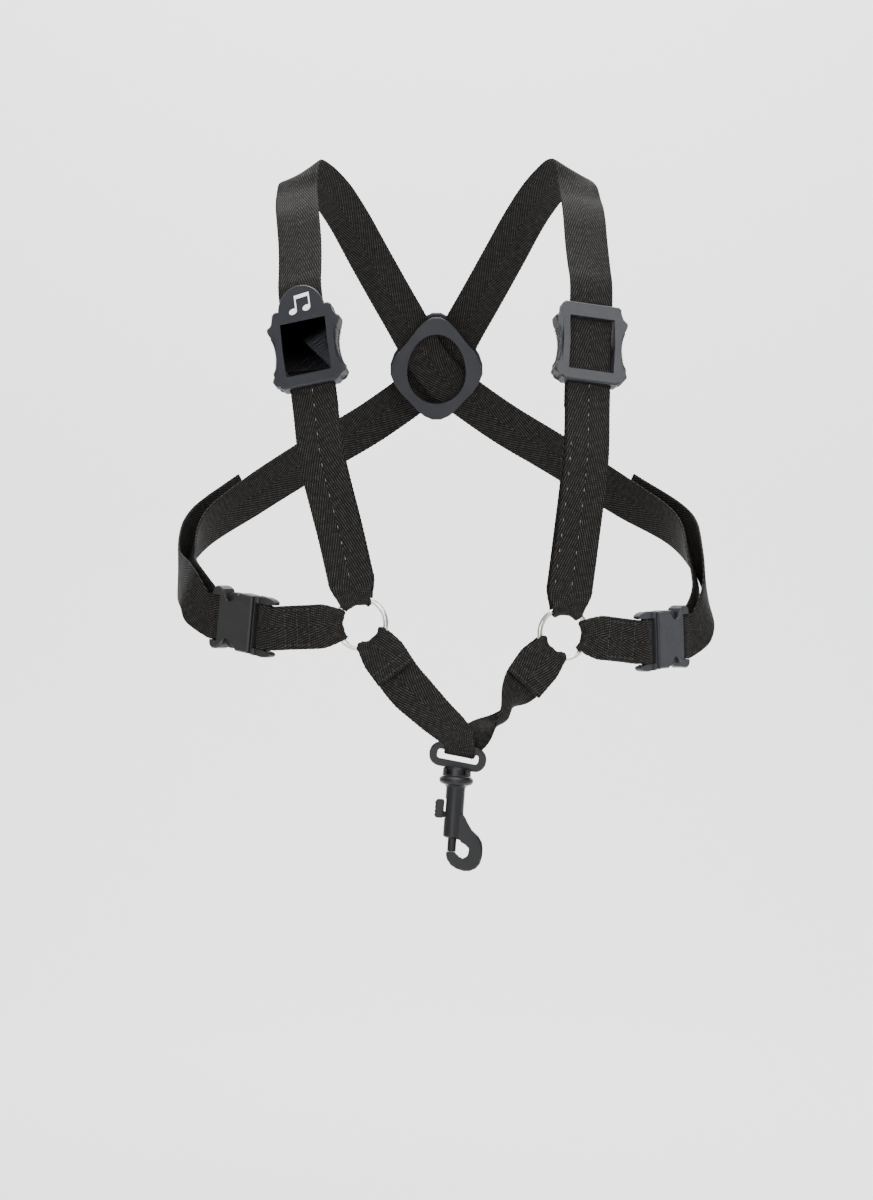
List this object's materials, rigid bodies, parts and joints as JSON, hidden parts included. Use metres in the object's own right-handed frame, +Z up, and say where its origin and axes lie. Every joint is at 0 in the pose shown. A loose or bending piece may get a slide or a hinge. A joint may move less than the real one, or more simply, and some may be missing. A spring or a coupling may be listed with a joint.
{
  "type": "saxophone shoulder harness",
  "caption": "Webbing shoulder harness with chest sliders, side-release buckles, metal rings, a back cross guide and a swivel snap hook that holds a saxophone.",
  "frame": {"origin": "midpoint between the tops of the two shoulder straps, where the harness sits on the wearer's shoulders", "axes": "+Z up, -Y the wearer's front, +X toward the right-hand side as seen from the front"},
  "size_m": [0.314, 0.2318, 0.4089],
  "materials": {
    "black_polyester_webbing": "black herringbone-woven polyester webbing",
    "slate_acetal": "matte dark slate moulded plastic",
    "charcoal_acetal": "satin charcoal moulded plastic",
    "black_nylon": "satin black moulded nylon",
    "nickel_steel": "nickel-plated steel wire",
    "spring_steel": "bright spring steel"
  },
  "bodies": {
    "harness": {"strap_shoulder_left": "black_polyester_webbing", "strap_shoulder_right": "black_polyester_webbing", "strap_lower_v": "black_polyester_webbing", "cross_guide": "slate_acetal", "buckle_socket_left": "charcoal_acetal", "buckle_socket_right": "charcoal_acetal", "tab_left": "black_polyester_webbing", "tab_right": "black_polyester_webbing"},
    "slider_left_body": {"slider_left": "slate_acetal", "end_loop_left": "black_polyester_webbing"},
    "slider_right_body": {"slider_right": "slate_acetal", "end_loop_right": "black_polyester_webbing"},
    "ring_left_body": {"ring_left": "nickel_steel"},
    "ring_right_body": {"ring_right": "nickel_steel"},
    "plug_left": {"buckle_plug_left": "charcoal_acetal"},
    "plug_right": {"buckle_plug_right": "charcoal_acetal"},
    "latch_left_upper_body": {"latch_left_upper": "charcoal_acetal"},
    "latch_left_lower_body": {"latch_left_lower": "charcoal_acetal"},
    "latch_right_upper_body": {"latch_right_upper": "charcoal_acetal"},
    "latch_right_lower_body": {"latch_right_lower": "charcoal_acetal"},
    "eye": {"hook_eye": "black_nylon"},
    "hook": {"hook_body": "black_nylon", "hook_spring": "spring_steel", "hook_wear_pin": "nickel_steel"},
    "bolt": {"hook_bolt": "black_nylon"}
  },
  "joints": [
    {"name": "slider_left_slide", "type": "slide", "parent": "harness", "child": "slider_left_body", "axis": [-0.1259, 0.3177, 0.9398], "range_m": [-0.01, 0.01]},
    {"name": "ring_left_turn", "type": "hinge", "parent": "harness", "child": "ring_left_body", "pos_m": [-0.0419, -0.109, -0.2631], "axis": [-0.1736, -0.9848, 0], "continuous": true},
    {"name": "buckle_left_release", "type": "slide", "parent": "harness", "child": "plug_left", "axis": [0.6626, -0.7359, -0.1392], "range_m": [0, 0.026], "deforming": ["tab_left", "latch_left_upper", "latch_left_lower"]},
    {"name": "latch_left_upper_flex", "type": "hinge", "parent": "plug_left", "child": "latch_left_upper_body", "pos_m": [-0.10441, -0.08288, -0.25503], "axis": [-0.7431, -0.6691, 0], "range_deg": [0, 8], "stiffness_Nm_per_rad": 0.05},
    {"name": "latch_left_lower_flex", "type": "hinge", "parent": "plug_left", "child": "latch_left_lower_body", "pos_m": [-0.10595, -0.08117, -0.27147], "axis": [0.7431, 0.6691, 0], "range_deg": [0, 8], "stiffness_Nm_per_rad": 0.05},
    {"name": "slider_right_slide", "type": "slide", "parent": "harness", "child": "slider_right_body", "axis": [0.0356, 0.304, 0.952], "range_m": [-0.01, 0.01]},
    {"name": "ring_right_turn", "type": "hinge", "parent": "harness", "child": "ring_right_body", "pos_m": [0.0708, -0.1024, -0.2688], "axis": [0.2924, -0.9563, 0], "continuous": true},
    {"name": "buckle_right_release", "type": "slide", "parent": "harness", "child": "plug_right", "axis": [-0.5436, -0.837, -0.0628], "range_m": [0, 0.026], "deforming": ["tab_right", "latch_right_upper", "latch_right_lower"]},
    {"name": "latch_right_upper_flex", "type": "hinge", "parent": "plug_right", "child": "latch_right_upper_body", "pos_m": [0.12505, -0.06342, -0.26438], "axis": [-0.8387, 0.5446, 0], "range_deg": [0, 8], "stiffness_Nm_per_rad": 0.05},
    {"name": "latch_right_lower_flex", "type": "hinge", "parent": "plug_right", "child": "latch_right_lower_body", "pos_m": [0.12562, -0.06254, -0.28094], "axis": [0.8387, -0.5446, 0], "range_deg": [0, 8], "stiffness_Nm_per_rad": 0.05},
    {"name": "eye_swing", "type": "hinge", "parent": "harness", "child": "eye", "pos_m": [0.0127, -0.114, -0.3322], "axis": [0.9816, 0, -0.1908], "range_deg": [-40, 40]},
    {"name": "hook_swivel", "type": "hinge", "parent": "eye", "child": "hook", "pos_m": [0.01083, -0.114, -0.3518], "axis": [0.0698, 0, 0.9976], "continuous": true},
    {"name": "bolt_slide", "type": "slide", "parent": "hook", "child": "bolt", "axis": [0.0698, 0, 0.9976], "range_m": [0, 0.006], "stiffness_N_per_m": 200, "springref_m": -0.004, "deforming": ["hook_spring"]}
  ]
}
